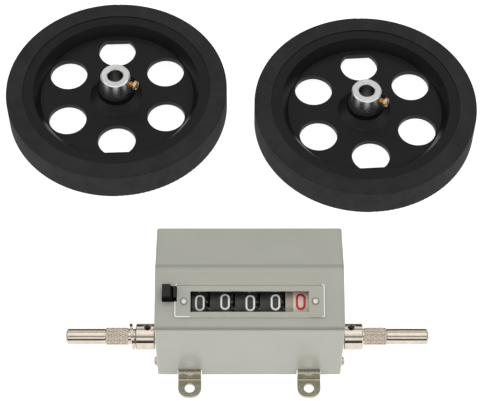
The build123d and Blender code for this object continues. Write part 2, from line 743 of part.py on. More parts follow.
with BuildPart() as pinion_axle:
    with BuildSketch(side_plane(-CHASSIS_X - CHASSIS_SHEET)):
        with Locations((PINION_AXLE_Y, PINION_AXLE_Z)):
            Circle(PINION_AXLE_RADIUS)
    extrude(amount=2 * (CHASSIS_X + CHASSIS_SHEET))
save(pinion_axle, "pinion_axle")

# ---------------------------------------------------------------- reset works
AXLE_TO_RESET = degrees(atan2(DRUM_Z - RESET_Z, DRUM_Y - RESET_Y))

with BuildPart() as drum_axle:
    with BuildSketch(drum_plane(RESET_GEAR_RIGHT)):
        Circle(AXLE_RADIUS)
    extrude(amount=CHASSIS_X + CHASSIS_SHEET + AXLE_PROUD - RESET_GEAR_RIGHT)
    with BuildSketch(drum_plane(RESET_GEAR_LEFT)):
        turn = AXLE_TO_RESET + 180 + 180 / AXLE_PINION_TEETH
        gear_outline(AXLE_PINION_TEETH, RESET_MODULE, turn)
    extrude(amount=RESET_GEAR_RIGHT - RESET_GEAR_LEFT)
save(drum_axle, "drum_axle")

with BuildPart() as reset_gear:
    reset_plane = Plane(
        origin=(RESET_GEAR_LEFT, RESET_Y, RESET_Z), x_dir=(0, 1, 0), z_dir=(1, 0, 0)
    )
    with BuildSketch(reset_plane):
        gear_outline(RESET_GEAR_TEETH, RESET_MODULE, AXLE_TO_RESET)
    extrude(amount=RESET_GEAR_RIGHT - RESET_GEAR_LEFT)
    with BuildSketch(reset_plane):
        # the direction from the gear to the rack is straight down the panel's slope
        to_rack = 180 + PANEL_ANGLE
        turn = to_rack + 180 / RACK_PINION_TEETH
        gear_outline(RACK_PINION_TEETH, RESET_MODULE, turn)
    extrude(amount=STEM_LEFT - RESET_GEAR_LEFT)
    with BuildSketch(reset_plane):
        Circle(RESET_STUD_RADIUS + RUNNING_GAP)
    extrude(amount=RESET_GEAR_RIGHT - STEM_LEFT, both=True, mode=Mode.SUBTRACT)
save(reset_gear, "reset_gear")

with BuildPart() as reset_stud:
    with BuildSketch(side_plane(STEM_LEFT - STUD_END_GAP)):
        with Locations((RESET_Y, RESET_Z)):
            Circle(RESET_STUD_RADIUS)
    extrude(amount=-CHASSIS_X - STEM_LEFT + STUD_END_GAP)
    with BuildSketch(side_plane(STEM_LEFT - STUD_END_GAP - STUD_HEAD)):
        with Locations((RESET_Y, RESET_Z)):
            Circle(STUD_HEAD_RADIUS)
    extrude(amount=STUD_HEAD)
save(reset_stud, "reset_stud")


def rack_tooth_points(along):
    """Corners of one rack tooth centred a distance along the stem, in panel (up, out) terms."""
    pitch = pi * RESET_MODULE
    root = STEM_UP + RACK_PITCH_LINE - ROOT_DEPTH * RESET_MODULE
    middle = STEM_UP + RACK_PITCH_LINE
    top = STEM_UP + RACK_PITCH_LINE + RESET_MODULE
    return (
        (root, -along + ROOT_SHARE * pitch),
        (middle, -along + PITCH_SHARE * pitch),
        (top, -along + TIP_SHARE * pitch),
        (top, -along - TIP_SHARE * pitch),
        (middle, -along - PITCH_SHARE * pitch),
        (root, -along - ROOT_SHARE * pitch),
    )


with BuildPart() as reset_key:
    with BuildSketch(PANEL.offset(-KEY_SHOULDER)):
        with Locations((KEY_X, KEY_UP)):
            Rectangle(KEY_WIDTH, KEY_LENGTH)
    extrude(amount=KEY_SHOULDER + KEY_STRAIGHT)
    # the cap tapers to a smaller top that stands to the left
    with BuildSketch(PANEL.offset(KEY_STRAIGHT)):
        with Locations((KEY_X, KEY_UP)):
            Rectangle(KEY_WIDTH, KEY_LENGTH)
    with BuildSketch(PANEL.offset(KEY_PROUD)):
        with Locations((KEY_X - KEY_TOP_LEFT, KEY_UP)):
            Rectangle(KEY_TOP_WIDTH, KEY_TOP_LENGTH)
    loft()
    cap = reset_key.faces().sort_by(Axis.Z)[-1]
    fillet(cap.edges(), KEY_EDGE)
    with BuildSketch(PANEL.offset(-KEY_SHOULDER)):
        with Locations((KEY_X + (KEY_WIDTH + KEY_STEP) / 2, KEY_UP + KEY_STEP_SHORT / 2)):
            Rectangle(KEY_STEP, KEY_LENGTH - KEY_STEP_SHORT)
    extrude(amount=KEY_SHOULDER + KEY_STEP_PROUD)
    # the stem and its rack, drawn on a plane square to X whose axes are up and out of the panel
    stem_plane = Plane(
        origin=(STEM_LEFT, FRONT_Y, FRONT_HEIGHT),
        x_dir=(0, PANEL_COS, PANEL_SIN),
        z_dir=(1, 0, 0),
    )
    stem_root = STEM_UP + RACK_PITCH_LINE - ROOT_DEPTH * RESET_MODULE
    with BuildSketch(stem_plane):
        Polygon(
            (STEM_UP - STEM_FRONT, -KEY_SHOULDER),
            (STEM_UP - STEM_FRONT, -STEM_END),
            (stem_root, -STEM_END),
            (stem_root, -KEY_SHOULDER),
            align=None,
        )
        for step in range(RACK_TEETH):
            along = RESET_ALONG + (1 - step) * pi * RESET_MODULE
            Polygon(*rack_tooth_points(along), align=None)
    extrude(amount=STEM_RIGHT - STEM_LEFT)
save(reset_key, "reset_key")

# the return spring fills the way from the stem's end to the chassis plate's foot
STEM_MIDDLE = STEM_UP + (RACK_PITCH_LINE - ROOT_DEPTH * RESET_MODULE - STEM_FRONT) / 2
SPRING_START = STEM_END + SPRING_END_GAP
SPRING_FOOT_Z = TRAY_TOP + CHASSIS_SHEET + SPRING_RADIUS * PANEL_SIN + SPRING_WIRE
SPRING_LENGTH = (on_panel(STEM_MIDDLE, SPRING_START)[1] - SPRING_FOOT_Z) / PANEL_COS

with BuildPart() as reset_spring:
    foot_y, foot_z = on_panel(STEM_MIDDLE, SPRING_START + SPRING_LENGTH)
    with BuildLine():
        coil = Helix(
            pitch=(SPRING_LENGTH - 2 * SPRING_WIRE) / SPRING_TURNS,
            height=SPRING_LENGTH - 2 * SPRING_WIRE,
            radius=SPRING_RADIUS - SPRING_WIRE,
            center=((STEM_LEFT + STEM_RIGHT) / 2, foot_y, foot_z),
            direction=(0, -PANEL_SIN, PANEL_COS),
        )
    with BuildSketch(Plane(origin=coil @ 0, z_dir=coil % 0)):
        Circle(SPRING_WIRE)
    sweep(is_frenet=True)
save(reset_spring, "reset_spring")


# ---------------------------------------------------------------- metering wheels
def make_wheel(side, centre, turn, clamp_angle):
    cx, cy = centre
    axis = Axis((cx, cy, 0), (0, 0, 1))
    section = Plane(origin=(cx, cy, 0), x_dir=(1, 0, 0), z_dir=(0, -1, 0))
    web_low = WEB_TOP - WEB_THICKNESS
    rim_top = WHEEL_WIDTH - RIM_INSET
    rim_low = RIM_INSET

    with BuildPart() as tyre:
        with BuildSketch(section):
            Polygon(
                (TYRE_INSIDE, 0),
                (WHEEL_RADIUS, 0),
                (WHEEL_RADIUS, WHEEL_WIDTH),
                (TYRE_INSIDE, WHEEL_WIDTH),
                (TYRE_INSIDE, web_low + WEB_THICKNESS),
                (TYRE_INSIDE + TYRE_KEY, web_low + WEB_THICKNESS),
                (TYRE_INSIDE + TYRE_KEY, web_low),
                (TYRE_INSIDE, web_low),
                align=None,
            )
        revolve(axis=axis)
        rims = tyre.edges().filter_by(GeomType.CIRCLE)
        fillet(rims.filter_by(lambda edge: edge.radius > WHEEL_RADIUS - 0.01), TYRE_ROUND)
    save(tyre, f"wheel_tyre_{side}")

    with BuildPart() as disc:
        with BuildSketch(section):
            Polygon(
                (HUB_SLEEVE_RADIUS, rim_low),
                (BOSS_RADIUS + BACK_BOSS_WALL - BACK_BOSS_DRAFT, rim_low),
                (BOSS_RADIUS + BACK_BOSS_WALL, web_low),
                (RIM_LOW_INSIDE, web_low),
                (RIM_TOP_INSIDE, rim_low),
                (TYRE_INSIDE, rim_low),
                (TYRE_INSIDE, web_low),
                (TYRE_INSIDE + TYRE_KEY, web_low),
                (TYRE_INSIDE + TYRE_KEY, WEB_TOP),
                (TYRE_INSIDE, WEB_TOP),
                (TYRE_INSIDE, rim_top),
                (RIM_TOP_INSIDE, rim_top),
                (RIM_LOW_INSIDE + RIM_STEP, WEB_TOP + RIM_STEP_UP),
                (RIM_LOW_INSIDE, WEB_TOP),
                (BOSS_FOOT_RADIUS, WEB_TOP),
                (BOSS_FOOT_RADIUS - BOSS_FOOT_EDGE, WEB_TOP + BOSS_FOOT_UP),
                (BOSS_RADIUS + BOSS_FLARE, WEB_TOP + BOSS_FLARE_UP),
                (BOSS_RADIUS, WHEEL_WIDTH),
                (HUB_SLEEVE_RADIUS, WHEEL_WIDTH),
                align=None,
            )
        revolve(axis=axis)
        with BuildSketch(Plane.XY.offset(web_low)):
            with Locations((cx, cy)):
                first = 180 / HOLE_COUNT + turn
                with PolarLocations(HOLE_PITCH, HOLE_COUNT, start_angle=first):
                    Circle(HOLE_RADIUS)
            # the near and far holes are cut off flat on their outer side
            for direction in (90 + turn, 270 + turn):
                away = HOLE_PITCH + HOLE_RADIUS - FLAT_OFF / 2
                flat_x = cx + away * cos(radians(direction))
                flat_y = cy + away * sin(radians(direction))
                with Locations(Location((flat_x, flat_y), direction)):
                    Rectangle(FLAT_OFF, 2 * HOLE_RADIUS, mode=Mode.SUBTRACT)
        extrude(amount=WEB_THICKNESS, mode=Mode.SUBTRACT)
    save(disc, f"wheel_disc_{side}")

    with BuildPart() as hub:
        with BuildSketch(Plane.XY.offset(rim_low)):
            with Locations((cx, cy)):
                Circle(HUB_SLEEVE_RADIUS)
                Circle(HUB_BORE, mode=Mode.SUBTRACT)
        extrude(amount=HUB_TOP - rim_low)
        top_rims = hub.edges().filter_by(GeomType.CIRCLE).group_by(Axis.Z)[-1]
        chamfer(top_rims, HUB_EDGE)
        with BuildSketch(clamp_plane(centre, clamp_angle, 0)):
            Circle(CLAMP_RADIUS + CLAMP_GAP)
        extrude(amount=HUB_SLEEVE_RADIUS + 1, mode=Mode.SUBTRACT)
    save(hub, f"wheel_hub_{side}")

    with BuildPart() as clamp_screw:
        head_start = HUB_SLEEVE_RADIUS + CLAMP_PROUD
        clamp_tip = HUB_BORE + CLAMP_TIP_GAP
        with BuildSketch(clamp_plane(centre, clamp_angle, clamp_tip)):
            Circle(CLAMP_RADIUS)
        extrude(amount=head_start - clamp_tip)
        with BuildSketch(clamp_plane(centre, clamp_angle, head_start)):
            Circle(CLAMP_HEAD_RADIUS)
        extrude(amount=CLAMP_HEAD)
        with BuildSketch(clamp_plane(centre, clamp_angle, head_start + CLAMP_HEAD)):
            Rectangle(RECESS_LENGTH, RECESS_WIDTH)
            Rectangle(RECESS_WIDTH, RECESS_LENGTH)
        extrude(amount=-RECESS_DEPTH, mode=Mode.SUBTRACT)
    save(clamp_screw, f"clamp_screw_{side}")


def clamp_plane(centre, angle, reach):
    """A plane across a clamp screw, `reach` from the wheel's axis."""
    lean = radians(angle)
    origin = (centre[0] + reach * cos(lean), centre[1] + reach * sin(lean), CLAMP_Z)
    return Plane(origin=origin, x_dir=(0, 0, 1), z_dir=(cos(lean), sin(lean), 0))


make_wheel("left", WHEEL_LEFT, WHEEL_LEFT_TURN, CLAMP_LEFT_ANGLE)
make_wheel("right", WHEEL_RIGHT, WHEEL_RIGHT_TURN, CLAMP_RIGHT_ANGLE)
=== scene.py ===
import json
from math import atan2, cos, pi, radians, sin

import bmesh
import bpy
from mathutils import Matrix, Vector


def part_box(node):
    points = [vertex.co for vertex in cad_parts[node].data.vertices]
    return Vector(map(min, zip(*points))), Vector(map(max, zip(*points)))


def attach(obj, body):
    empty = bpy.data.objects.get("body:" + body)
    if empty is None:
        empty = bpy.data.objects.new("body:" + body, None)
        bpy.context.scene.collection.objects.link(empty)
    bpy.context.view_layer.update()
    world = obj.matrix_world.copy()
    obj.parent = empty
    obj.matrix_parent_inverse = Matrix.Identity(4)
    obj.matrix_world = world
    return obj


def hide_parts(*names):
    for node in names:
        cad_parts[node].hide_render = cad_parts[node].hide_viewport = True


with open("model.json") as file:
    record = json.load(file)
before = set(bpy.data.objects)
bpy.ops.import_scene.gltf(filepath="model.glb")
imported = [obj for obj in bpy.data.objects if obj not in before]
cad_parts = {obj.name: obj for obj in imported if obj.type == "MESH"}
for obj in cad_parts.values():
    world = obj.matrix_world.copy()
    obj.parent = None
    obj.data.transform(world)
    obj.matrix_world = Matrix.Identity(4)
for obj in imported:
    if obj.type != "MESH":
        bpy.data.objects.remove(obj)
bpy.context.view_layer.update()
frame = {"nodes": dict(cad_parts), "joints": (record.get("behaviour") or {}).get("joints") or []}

MM = 0.001
nodes = frame["nodes"]
joints = {joint["name"]: joint for joint in frame["joints"]}

CAMERA_PLACE = Vector((-4.03, -366.5, 636.9)) * MM
CAMERA_TILT = 34.37
LENS = 123.36
SENSOR = 36.0

camera_data = bpy.data.cameras.new("camera")
camera_data.lens = LENS
camera_data.sensor_width = SENSOR
camera = bpy.data.objects.new("camera", camera_data)
camera.location = CAMERA_PLACE
camera.rotation_euler = (radians(CAMERA_TILT), 0, 0)
bpy.context.scene.collection.objects.link(camera)
bpy.context.scene.camera = camera
bpy.context.scene.view_settings.view_transform = "Standard"


# ---------------------------------------------------------------- material tools
PATCH_EDGES = (0.35, 0.65)
POLISH_EDGES = (0.3, 0.7)
SCRATCH_EDGES = (0.62, 0.70)
# a wave texture of scale 1 repeats every 2 pi / 20 of a unit
WAVE_REPEAT = 2 * pi / 20


class Shade:
    """A material under construction: one Principled shader and the nodes that feed it."""

    def __init__(self, name, color, roughness, metallic=0.0, **sockets):
        self.material = bpy.data.materials.new(name)
        self.material.use_nodes = True
        self.tree = self.material.node_tree
        self.shader = self.tree.nodes["Principled BSDF"]
        self.place = self.tree.nodes.new("ShaderNodeTexCoord").outputs["Object"]
        self.shader.inputs["Base Color"].default_value = (*color, 1)
        self.shader.inputs["Roughness"].default_value = roughness
        self.shader.inputs["Metallic"].default_value = metallic
        for socket, value in sockets.items():
            self.shader.inputs[socket.replace("_", " ")].default_value = value
        self.color = color
        self.roughness = roughness
        self.height = None

    def node(self, kind, **settings):
        made = self.tree.nodes.new(kind)
        for key, value in settings.items():
            setattr(made, key, value)
        return made

    def link(self, source, target):
        self.tree.links.new(source, target)

    def noise(self, scale, detail, stretch=(1, 1, 1)):
        """A noise with scale features per metre, and stretch times as many along each axis."""
        mapping = self.node("ShaderNodeMapping")
        mapping.inputs["Scale"].default_value = stretch
        self.link(self.place, mapping.inputs["Vector"])
        made = self.node("ShaderNodeTexNoise")
        made.inputs["Scale"].default_value = scale
        made.inputs["Detail"].default_value = detail
        self.link(mapping.outputs["Vector"], made.inputs["Vector"])
        return made.outputs["Fac"]

    def remap(self, value, low, high, start=0.0, end=1.0):
        """Turns start..end of a value into low..high, clamped."""
        made = self.node("ShaderNodeMapRange")
        made.inputs["From Min"].default_value = start
        made.inputs["From Max"].default_value = end
        made.inputs["To Min"].default_value = low
        made.inputs["To Max"].default_value = high
        self.link(value, made.inputs["Value"])
        return made.outputs["Result"]

    def mottle(self, scale, amount, stretch=(1, 1, 1)):
        """Varies the base colour a little, lighter and darker, in soft patches."""
        dark = [c * (1 - amount) for c in self.color]
        light = [min(1.0, c * (1 + amount)) for c in self.color]
        ramp = self.node("ShaderNodeValToRGB")
        for stop, place, color in zip(ramp.color_ramp.elements, PATCH_EDGES, (dark, light)):
            stop.position = place
            stop.color = (*color, 1)
        self.link(self.noise(scale, 5.0, stretch), ramp.inputs["Fac"])
        self.link(ramp.outputs["Color"], self.shader.inputs["Base Color"])

    def tint_near(self, centre, flat, inner, outer, tint):
        """Multiplies the colour by a tint between two distances from a point or a line.

        flat leaves out the directions that don't count: (0, 1, 1) is a line along X.
        """
        mapping = self.node("ShaderNodeMapping")
        mapping.inputs["Scale"].default_value = flat
        self.link(self.place, mapping.inputs["Vector"])
        away = self.node("ShaderNodeVectorMath", operation="DISTANCE")
        self.link(mapping.outputs["Vector"], away.inputs[0])
        away.inputs[1].default_value = [c * f for c, f in zip(centre, flat)]
        ramp = self.node("ShaderNodeValToRGB")
        middle = (inner + outer) / 2
        ramp.color_ramp.elements[0].position = 0.0
        ramp.color_ramp.elements[1].position = 1.0
        near = tint if inner <= 0 else 1.0
        ramp.color_ramp.elements[0].color = (near, near, near, 1)
        ramp.color_ramp.elements[1].color = (1, 1, 1, 1)
        if inner > 0:
            ramp.color_ramp.elements.new(middle / outer).color = (tint, tint, tint, 1)
            ramp.color_ramp.elements.new(inner / outer).color = (1, 1, 1, 1)
        self.link(self.remap(away.outputs["Value"], 0.0, 1.0, 0.0, outer), ramp.inputs["Fac"])
        mix = self.node("ShaderNodeMix", data_type="RGBA", blend_type="MULTIPLY")
        mix.inputs["Factor"].default_value = 1.0
        color = self.shader.inputs["Base Color"]
        self.link(color.links[0].from_socket, mix.inputs["A"])
        self.link(ramp.outputs["Color"], mix.inputs["B"])
        self.link(mix.outputs["Result"], color)

    def polish(self, scale, spread, stretch=(1, 1, 1)):
        """Varies the roughness around its value."""
        value = self.noise(scale, 6.0, stretch)
        low, high = self.roughness - spread, self.roughness + spread
        self.link(self.remap(value, low, high, *POLISH_EDGES), self.shader.inputs["Roughness"])

    def bump(self, value, strength, depth):
        """Adds a height, depth metres deep, on top of those added before."""
        made = self.node("ShaderNodeBump")
        made.inputs["Strength"].default_value = strength
        made.inputs["Distance"].default_value = depth
        self.link(value, made.inputs["Height"])
        if self.height is not None:
            self.link(self.height, made.inputs["Normal"])
        self.height = made.outputs["Normal"]
        self.link(self.height, self.shader.inputs["Normal"])

    def rings(self, centre, pitch):
        """Fine turned rings about an upright axis through the centre, one per pitch metres."""
        mapping = self.node("ShaderNodeMapping")
        mapping.inputs["Location"].default_value = [-c for c in centre]
        self.link(self.place, mapping.inputs["Vector"])
        wave = self.node("ShaderNodeTexWave", wave_type="RINGS", rings_direction="Z")
        wave.inputs["Scale"].default_value = WAVE_REPEAT / pitch
        wave.inputs["Distortion"].default_value = 1.5
        wave.inputs["Detail"].default_value = 2.0
        self.link(mapping.outputs["Vector"], wave.inputs["Vector"])
        return wave.outputs["Fac"]

    def scratches(self, scale, stretch):
        """Narrow streaks along the axis with the least stretch."""
        return self.remap(self.noise(scale, 3.0, stretch), 0.0, 1.0, *SCRATCH_EDGES)


# in the materials, noise scales are features per metre and bump depths are metres
def paint(name, color, marks=()):
    """Stove enamel with a slight orange-peel; marks are the arguments of tint_near."""
    shade = Shade(name, color, 0.34, Coat_Weight=0.6, Coat_Roughness=0.16)
    shade.mottle(60, 0.025)
    shade.polish(350, 0.05)
    shade.bump(shade.noise(1100, 3.0), 0.10, 0.00006)
    shade.bump(shade.noise(220, 2.0), 0.05, 0.0002)
    for mark in marks:
        shade.tint_near(*mark)
    return shade.material


def plated(name, color, roughness):
    """Nickel plating over turned or stamped steel: small pits and a few fine scratches."""
    shade = Shade(name, color, roughness, 1.0)
    shade.mottle(500, 0.06)
    shade.polish(900, 0.04)
    shade.bump(shade.noise(900, 4.0), 0.04, 0.00002)
    shade.bump(shade.scratches(350, (1, 8, 8)), 0.06, 0.00001)
    return shade.material


def steel(name, color, roughness, grain):
    """Bare steel; grain is the stretch of its streaks, least along the way it was drawn."""
    shade = Shade(name, color, roughness, 1.0)
    shade.mottle(300, 0.08, grain)
    shade.polish(700, 0.07, grain)
    shade.bump(shade.noise(1500, 3.0, grain), 0.12, 0.00003)
    return shade.material


def moulded(name, color, roughness, level=0.5):
    """Moulded plastic: an even colour, a fine spark-eroded grain and a trace of dust."""
    shade = Shade(name, color, roughness, 0.0, Specular_IOR_Level=level)
    shade.mottle(120, 0.08)
    shade.polish(500, 0.05)
    shade.bump(shade.noise(3500, 3.0), 0.10, 0.00003)
    return shade.material


def rubber(name, color):
    """Matt rubber with dusty patches and a fine, rough grain."""
    shade = Shade(name, color, 0.86, 0.0, Specular_IOR_Level=0.22)
    shade.mottle(90, 0.14)
    shade.polish(260, 0.07)
    shade.bump(shade.noise(4200, 4.0), 0.30, 0.00005)
    shade.bump(shade.noise(500, 3.0), 0.10, 0.0001)
    return shade.material


RING_PITCH = 0.4 * MM
# painted shade in each hub's bore: its colour is darkened in a band between these distances from the
# axis
BORE_SHADE_FROM = 2.6 * MM
BORE_SHADE_TO = 4.2 * MM
BORE_SHADE_TINT = 0.22


def turned_aluminium(name, centre):
    """Turned about a vertical axis; the bore is painted darker than the outside, as painted shade.
    """
    shade = Shade(name, (0.83, 0.83, 0.82), 0.29, 1.0)
    shade.mottle(120, 0.03)
    shade.polish(150, 0.04)
    shade.bump(shade.rings(centre, RING_PITCH), 0.06, 0.00001)
    shade.tint_near(centre, (1, 1, 0), BORE_SHADE_FROM, BORE_SHADE_TO, BORE_SHADE_TINT)
    return shade.material


def brass(name):
    """Turned brass, a little tarnished in spots."""
    shade = Shade(name, (0.70, 0.47, 0.25), 0.24, 1.0)
    shade.mottle(1500, 0.14)
    shade.polish(1800, 0.08)
    shade.bump(shade.noise(5000, 3.0), 0.15, 0.00002)
    return shade.material


def clear_pane(name):
    """A clear acrylic pane, nearly unseen, that only adds a faint sheen."""
    clear = {"IOR": 1.3, "Transmission_Weight": 1.0, "Alpha": 0.06}
    shade = Shade(name, (0.97, 0.98, 0.98), 0.05, 0.0, **clear)
    shade.polish(300, 0.02)
    return shade.material


# the carry ring is the band's cream darkened: painted shade
CARRY_RING_SHADED_COLOR = (0.50, 0.44, 0.37)
FIGURE_BAND_COLOR = (0.95, 0.77, 0.64)
BAND_BLUR = 0.05 * MM
DRUM_STAIN = 0.9


def last_drum_material(name, band_left):
    """Cream on the figure band, a darker cream on the carry ring beside it as painted shade, both
    faintly stained.
    """
    shade = Shade(name, FIGURE_BAND_COLOR, 0.45)
    split = shade.node("ShaderNodeSeparateXYZ")
    shade.link(shade.place, split.inputs["Vector"])
    left, right = band_left - BAND_BLUR, band_left + BAND_BLUR
    side = shade.remap(split.outputs["X"], 0.0, 1.0, left, right)
    mix = shade.node("ShaderNodeMix", data_type="RGBA")
    mix.inputs["A"].default_value = (*CARRY_RING_SHADED_COLOR, 1)
    mix.inputs["B"].default_value = (*FIGURE_BAND_COLOR, 1)
    shade.link(side, mix.inputs["Factor"])
    tint = shade.node("ShaderNodeMix", data_type="RGBA", blend_type="MULTIPLY")
    tint.inputs["Factor"].default_value = 1.0
    ramp = shade.node("ShaderNodeValToRGB")
    ramp.color_ramp.elements[0].color = (DRUM_STAIN, DRUM_STAIN, DRUM_STAIN, 1)
    shade.link(shade.noise(400, 3.0), ramp.inputs["Fac"])
    shade.link(mix.outputs["Result"], tint.inputs["A"])
    shade.link(ramp.outputs["Color"], tint.inputs["B"])
    shade.link(tint.outputs["Result"], shade.shader.inputs["Base Color"])
    shade.polish(500, 0.05)
    shade.bump(shade.noise(3000, 3.0), 0.08, 0.00003)
    return shade.material


# ---------------------------------------------------------------- places read from the frame
def joint_place(name):
    return Vector(joints[name]["pos_m"])


SPINDLE = joint_place("spindle_spin")
DRUMS = joint_place("drum_1_spin")
WHEELS = {side: joint_place(f"wheel_{side}_spin") for side in ("left", "right")}
# the window panel of the cover: square out of it, and up along it
OUTWARD = -Vector(joints["reset_key_push"]["axis"])
UPWARD = Vector((0, OUTWARD.z, -OUTWARD.y))
CARRY_RING_WIDTH = 3.2 * MM
BAND_LEFT_5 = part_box("number_drum_5")[0].x + CARRY_RING_WIDTH

# ---------------------------------------------------------------- materials
# painted shade: the cover's paint is darkened along its two bends, given as (y, z) and a tint
BEND_SHADE_REACH = 1.4 * MM
SHADED_BENDS = (((-23.9 * MM, 41.3 * MM), 0.55), ((1.6 * MM, 49.4 * MM), 0.62))
BEND_SHADE_MARKS = [((0, *bend), (0, 1, 1), 0.0, BEND_SHADE_REACH, tint) for bend, tint in SHADED_BENDS]

# the bezel paint is darker in a ring round each rivet's head
RIVET_X = 27.55 * MM
RIVET_HEAD_TO_MIDDLE = 1.175 * MM
RIVET_RING_FROM = 1.0 * MM
RIVET_RING_TO = 1.9 * MM
RIVET_RING_TINT = 0.45
rivet_middle = sum(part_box("bezel_rivets"), Vector()) / 2 + OUTWARD * RIVET_HEAD_TO_MIDDLE
RIVETS = [
    ((x, rivet_middle.y, rivet_middle.z), (1, 1, 1), RIVET_RING_FROM, RIVET_RING_TO, RIVET_RING_TINT)
    for x in (-RIVET_X, RIVET_X)
]
HOUSING = paint("housing_paint", (0.405, 0.406, 0.348), BEND_SHADE_MARKS)
BEZEL = paint("bezel_paint", (0.418, 0.422, 0.352), RIVETS)
# near-white paint on some bezel edges: painted highlight
EDGE_HIGHLIGHT = paint("edge_highlight", (0.93, 0.94, 0.88))
NICKEL = plated("nickel", (0.61, 0.535, 0.45), 0.085)
EAR_NICKEL = plated("ear_nickel", (0.52, 0.49, 0.40), 0.27)
ZINC = plated("zinc_steel", (0.60, 0.61, 0.62), 0.38)
STEEL = steel("steel", (0.58, 0.58, 0.59), 0.30, (1, 6, 6))
BLACK_STEEL = steel("black_steel", (0.07, 0.06, 0.055), 0.35, (4, 4, 4))
SPRING = steel("spring_wire", (0.50, 0.50, 0.52), 0.28, (4, 4, 1))
RIVET = steel("rivet_metal", (0.68, 0.68, 0.62), 0.42, (3, 3, 3))
BRONZE = plated("bush_bronze", (0.55, 0.40, 0.22), 0.42)
BLACK_DRUM = moulded("drum_black", (0.030, 0.030, 0.029), 0.42)
LAST_DRUM = last_drum_material("drum_cream", BAND_LEFT_5)
ACETAL = moulded("gear_white", (0.74, 0.73, 0.68), 0.42)
KEY_BLACK = moulded("key_black", (0.006, 0.0055, 0.0045), 0.22, 0.26)
# the key's lower side: a rougher black, darker as painted shade
KEY_ROUGH_AND_SHADED = moulded("key_rough_and_shaded", (0.003, 0.003, 0.0028), 0.85, 0.05)
RUBBER = rubber("tyre_rubber", (0.024, 0.024, 0.0245))
WHEEL_BLACK = moulded("wheel_plastic", (0.0062, 0.0062, 0.0070), 0.42, 0.20)
BRASS = brass("clamp_brass")
PANE = clear_pane("lens")
WHITE_INK = moulded("white_ink", (0.92, 0.91, 0.87), 0.5)
RED_INK = moulded("red_ink", (0.70, 0.018, 0.022), 0.45)

LOOKS = {
    "cover": HOUSING,
    "bezel_plate": BEZEL,
    "window_lens": PANE,
    "bezel_rivets": RIVET,
    "base_plate": ZINC,
    "base_screws": STEEL,
    "side_screws": NICKEL,
    "pinion_axle": STEEL,
    "reset_stud": STEEL,
    "reset_spring": SPRING,
    "spindle": STEEL,
    "set_screws": BLACK_STEEL,
    "shaft_washer": NICKEL,
    "number_drum_5": LAST_DRUM,
    "drive_gear": ACETAL,
    "drum_axle": STEEL,
    "reset_gear": ACETAL,
    "reset_key": KEY_BLACK,
}
for number in range(1, 5):
    LOOKS[f"number_drum_{number}"] = BLACK_DRUM
    LOOKS[f"transfer_pinion_{number}"] = ACETAL
for side, centre in WHEELS.items():
    LOOKS[f"mounting_strap_{side}"] = EAR_NICKEL
    LOOKS[f"chassis_plate_{side}"] = ZINC
    LOOKS[f"spindle_bush_{side}"] = BRONZE
    LOOKS[f"collar_{side}"] = NICKEL
    LOOKS[f"shaft_end_{side}"] = NICKEL
    LOOKS[f"wheel_tyre_{side}"] = RUBBER
    LOOKS[f"wheel_disc_{side}"] = WHEEL_BLACK
    LOOKS[f"wheel_hub_{side}"] = turned_aluminium(f"hub_aluminium_{side}", centre)
    LOOKS[f"clamp_screw_{side}"] = BRASS
for node_name, look in LOOKS.items():
    data = nodes[node_name].data
    data.materials.clear()
    data.materials.append(look)


# ---------------------------------------------------------------- mesh tools
SAME_POINT = 1e-7
CAD_SAME_POINT = 2e-6
FLAT_ANGLE = 1
SHARP_ANGLE = 40
SHADED_SHARP_ANGLE = 55


def add_mesh(name, verts, faces, material, smooth=True):
    """A new object in the scene, its doubled points joined and its faces turned outward."""
    data = bpy.data.meshes.new(name)
    data.from_pydata([tuple(v) for v in verts], [], faces)
    data.update()
    work = bmesh.new()
    work.from_mesh(data)
    bmesh.ops.remove_doubles(work, verts=work.verts, dist=SAME_POINT)
    bmesh.ops.recalc_face_normals(work, faces=work.faces)
    work.to_mesh(data)
    work.free()
    data.materials.append(material)
    for face in data.polygons:
        face.use_smooth = smooth
    made = bpy.data.objects.new(name, data)
    bpy.context.scene.collection.objects.link(made)
    return made


def basis(origin, direction):
    """A matrix whose Z runs along the direction from the origin."""
    spin = Vector(direction).to_track_quat("Z", "Y").to_matrix().to_4x4()
    return Matrix.Translation(origin) @ spin


def lathe(profile, steps, place, bend=None):
    """Verts and faces of a closed profile of (radius, height) turned about the place's Z."""
    verts, faces = [], []
    count = len(profile)
    for step in range(steps):
        angle = 2 * pi * step / steps
        for index, (radius, height) in enumerate(profile):
            if bend:
                radius, height = bend(radius, height, angle)
            verts.append(place @ Vector((radius * cos(angle), radius * sin(angle), height)))
    for step in range(steps):
        after = (step + 1) % steps
        for index in range(count):
            other = (index + 1) % count
            faces.append(
                (
                    step * count + index,
                    after * count + index,
                    after * count + other,
                    step * count + other,
                )
            )
    return verts, faces


def arc(centre, radius, start, end, steps):
    """Points along an arc between two angles in degrees."""
    points = []
    for step in range(steps + 1):
        angle = radians(start + (end - start) * step / steps)
        points.append((centre[0] + radius * cos(angle), centre[1] + radius * sin(angle)))
    return points


def apply_modifiers(made):
    evaluated = made.evaluated_get(bpy.context.evaluated_depsgraph_get())
    data = bpy.data.meshes.new_from_object(evaluated)
    made.modifiers.clear()
    made.data = data


def smooth_by_angle(made, degrees_limit):
    """Marks the sharp edges, so flat faces and round ones both shade cleanly."""
    limit = radians(degrees_limit)
    work = bmesh.new()
    work.from_mesh(made.data)
    for edge in work.edges:
        edge.smooth = len(edge.link_faces) == 2 and edge.calc_face_angle(0) < limit
    for face in work.faces:
        face.smooth = True
    work.to_mesh(made.data)
    work.free()


